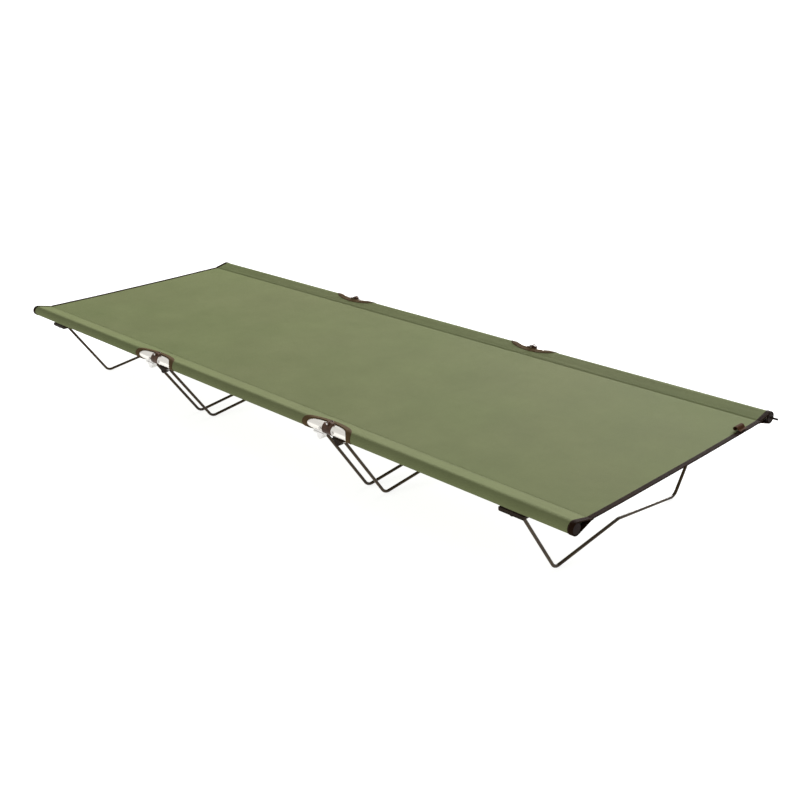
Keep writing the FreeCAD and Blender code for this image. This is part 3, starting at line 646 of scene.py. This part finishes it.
def stitch_mesh(name, at, ways, radius, height, slot):
    """Short rounded stitches at flat positions at, each lying along its way, half sunk in the cloth."""
    rings = np.array([-1, -0.86, -0.45, 0, 0.45, 0.86, 1]) * STITCH / 2
    girth = radius * np.array([0.25, 0.8, 1, 1, 1, 0.8, 0.25])
    rise = height + radius * (0.35 - 0.9 * (rings / (STITCH / 2)) ** 4)
    turn = np.linspace(0, 2 * math.pi, 6, endpoint=False)
    dx, ds, up = tangents(at[:, 0], at[:, 1])
    base, _ = surface(at[:, 0], at[:, 1])
    forward = dx * ways[:, :1] + ds * ways[:, 1:]
    forward /= np.linalg.norm(forward, axis=1, keepdims=True)
    side = np.cross(up, forward)
    grid = (base[:, None, None, :] + forward[:, None, None, :] * rings[None, :, None, None]
            + side[:, None, None, :] * (girth[:, None] * np.cos(turn))[None, :, :, None]
            + up[:, None, None, :] * (rise[:, None] + girth[:, None] * np.sin(turn))[None, :, :, None])
    count, r, t = grid.shape[:3]
    index = np.arange(count * r * t).reshape(count, r, t)
    wrap = np.concatenate([index, index[:, :, :1]], 2)
    quads = np.stack([wrap[:, :-1, :-1], wrap[:, :-1, 1:], wrap[:, 1:, 1:], wrap[:, 1:, :-1]], -1)
    faces = [tuple(f) for f in quads.reshape(-1, 4)]
    faces += [tuple(f) for f in index[:, 0]] + [tuple(f) for f in index[:, -1, ::-1]]
    uv = np.repeat(at, r * t, axis=0)
    return make_object(name, grid.reshape(-1, 3), faces, uv, slot)


def hang(obj):
    """Bakes obj's placement into its mesh."""
    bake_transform(obj)


def cut_out_rim(end, way, side):
    """(binding, its stitches) round one cut-out."""
    turn = np.linspace(0, 2 * math.pi, 120, endpoint=False)

    def ring(grow, angles):
        middle = np.array([way * HINGE_X, SIDE_S[side]])
        edge = np.stack([CUT_HALF[end] * np.cos(angles), CUT_DEPTH * np.sin(angles)], 1)
        out = np.stack([np.cos(angles) / CUT_HALF[end], np.sin(angles) / CUT_DEPTH], 1)
        out /= np.linalg.norm(out, axis=1, keepdims=True)
        return middle + edge + out * grow, out

    edge, out = ring(0, turn)
    # the rim tape's lighter brown is painted light on the same dark tape as the end binding
    tape = band(f"cutout_tape_{end}_{side}", edge, -out, TAPE, "rim_tape", True)
    fine = np.linspace(0, 2 * math.pi, 2000, endpoint=False)
    row = TAPE - 0.0017
    run = run_lengths(ring(row, fine)[0])
    count = int(run[-1] / STITCH_PITCH)
    at, away = ring(row, np.interp(np.arange(0.5, count) * STITCH_PITCH, run, fine))
    ways = np.stack([-away[:, 1], away[:, 0]], 1)
    thread = stitch_mesh(f"cutout_stitches_{end}_{side}", at, ways, TAPE_THREAD, ON_TAPE, "thread_brown")
    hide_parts(f"cutout_binding_{end}", "cutout_binding_middle")
    return tape, thread


def end_binding(end, way):
    """(binding, its stitches) over one end, round both open sleeves."""
    first = run_at(-SEAM_Y, upper=False) - 0.004
    last = WIDTH - first
    half = WIDTH / 2
    right = spaced([half, half + SEAM_Y - 0.01, last], [0.012, 0.0024])
    s = np.concatenate([2 * half - right[:0:-1], right])
    line = np.stack([np.full_like(s, way * HALF_LENGTH), s], 1)
    out = np.tile([float(way), 0.0], (len(s), 1))
    if way < 0:
        line, out = line[::-1], out[::-1]
    tape = band(f"end_tape_{end}", line, out, END_TAPE, "binding_tape", False)
    at = np.arange(first + 0.004, last - 0.003, STITCH_PITCH)
    at = np.stack([np.full_like(at, way * (HALF_LENGTH - END_TAPE + 0.0019)), at], 1)
    ways = np.tile([0.0, 1.0], (len(at), 1))
    thread = stitch_mesh(f"end_stitches_{end}", at, ways, TAPE_THREAD, ON_TAPE, "thread_brown")
    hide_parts(f"end_binding_{end}")
    return tape, thread


def seam_stitches(end, way):
    """Two rows along each sleeve's seam, over one half of the bed."""
    x = way * np.arange(0.0021, HALF_LENGTH - END_TAPE - 0.002, STITCH_PITCH)
    at = []
    for side, sign in (("near", -1), ("far", 1)):
        for shift in SEAM_ROWS:
            at.append(np.stack([x, np.full_like(x, SEAM_RUN[side] + sign * shift)], 1))
    at = np.concatenate(at)
    ways = np.tile([1.0, 0.0], (len(at), 1))
    height = CLOTH / 2 - 0.0001
    # the darker seam thread is partly painted shade along the seam
    return stitch_mesh(f"seam_stitches_{end}", at, ways, SEAM_THREAD, height, "thread_green")


def label_loop():
    """A blank loop of tape that stands up from the right end, caught under the binding."""
    low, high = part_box("label_tab")
    start, stop = low.x, high.x
    base = BED_TOP + 0.0008
    rise = np.array([(stop - 0.0125, 0.0), (start + 0.0015, 0.0), (start - 0.0005, 0.0015),
                     (start - 0.0010, 0.0040), (start + 0.0005, 0.0066), (start + 0.0035, 0.0078),
                     (start + 0.0065, 0.0072), (start + 0.0088, 0.0050), (start + 0.0098, 0.0025),
                     (stop - 0.0070, 0.0012), (stop - 0.0015, 0.0011)])
    run, line = resample(rise, 0.0004)
    spread = np.ones(9) / 9
    inner = np.stack([np.convolve(np.pad(line[:, i], 4, "edge"), spread, "valid") for i in (0, 1)], 1)
    y = np.linspace(low.y, high.y, 17)
    bow = 0.0003 * np.sin(np.linspace(0, math.pi, len(y)))
    point = np.zeros((len(inner), len(y), 3))
    point[..., 0] = inner[:, None, 0]
    point[..., 1] = y
    point[..., 2] = base + inner[:, None, 1] + bow
    uv = np.stack(np.broadcast_arrays(run[:, None], y), -1).reshape(-1, 2)
    index = np.arange(point.shape[0] * point.shape[1]).reshape(point.shape[:2])
    obj = make_object("label_loop", point.reshape(-1, 3), grid_faces(index), uv, "label_tape")
    thicken(obj, LABEL_THICK)
    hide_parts("label_tab")
    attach(obj, "right_section")
    return obj


# ---------------------------------------------------------------- everything together

def make_bed():
    """Both halves of the cloth, each with its tapes and stitches."""
    for end, way in (("left", -1), ("right", 1)):
        cloth, area = bed_cloth(end, way)
        extras = [seam_stitches(end, way), *end_binding(end, way)]
        for side in ("near", "far"):
            extras += cut_out_rim(end, way, side)
        for piece in (cloth, *extras):
            hang(piece)
        if end == "right":
            extras.append(label_loop())


def dress_frame():
    """Gives every carried CAD node the material of its slot."""
    for part in frame["record"]["subparts"]:
        mesh = frame["nodes"][part["node"]].data
        mesh.materials.clear()
        mesh.materials.append(MATERIALS[part["material_slot"]])


scene.view_settings.view_transform = "Standard"
add_camera()
add_world()
add_key_light()
add_floor()
dress_frame()
make_bed()
